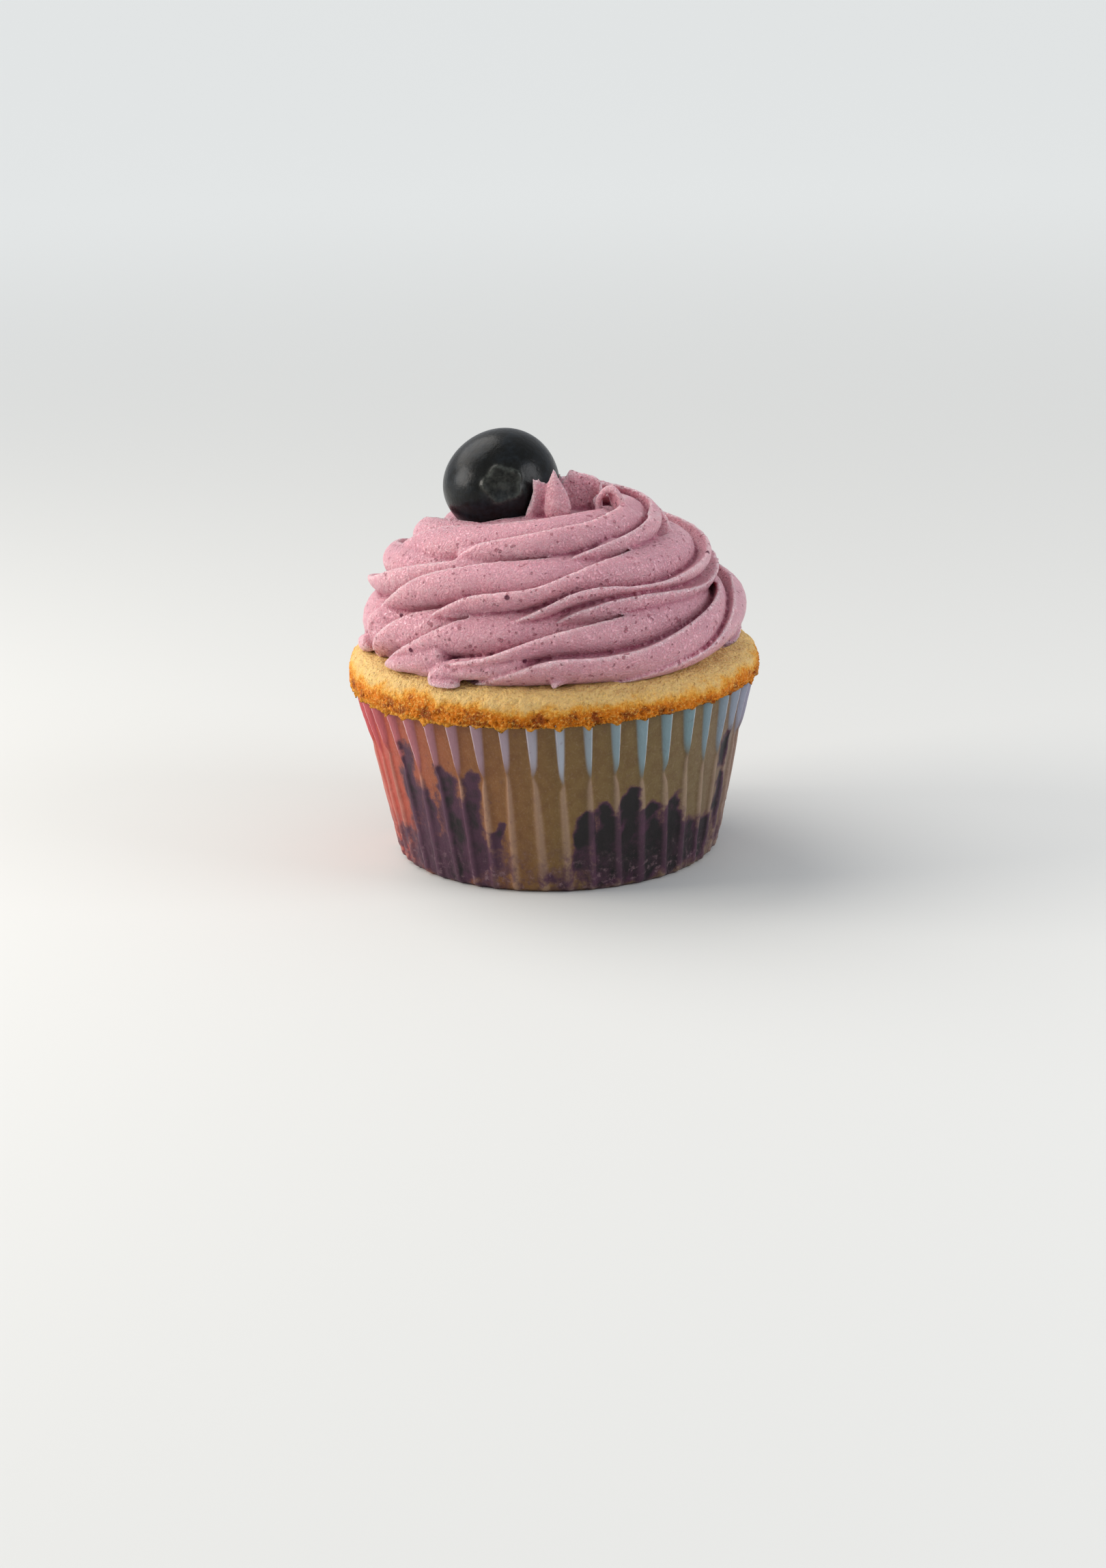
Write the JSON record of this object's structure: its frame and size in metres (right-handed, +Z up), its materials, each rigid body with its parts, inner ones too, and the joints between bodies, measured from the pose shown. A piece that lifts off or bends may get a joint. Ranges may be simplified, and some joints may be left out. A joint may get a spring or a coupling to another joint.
{
  "type": "cupcake",
  "caption": "Frosted cupcake in a pleated paper baking case: sponge with a browned crust, a piped swirl of pink icing and one dark berry on top.",
  "frame": {"origin": "centre of the paper case's underside, on the surface that the cupcake stands on", "axes": "+Z up, -Y towards the side that the picture shows, +X to its right"},
  "size_m": [0.0665, 0.0665, 0.068],
  "materials": {
    "baking_paper": "thin greaseproof paper, damp from the cake, with dark fruit stains",
    "sponge": "matte crumb, golden brown at the rim",
    "icing": "soft matte whipped icing with small air holes",
    "berry_skin": "dark waxy skin with a blue grey bloom"
  },
  "bodies": {
    "root": {"paper_case": "baking_paper", "cake": "sponge", "icing": "icing", "berry": "berry_skin"}
  },
  "joints": []
}
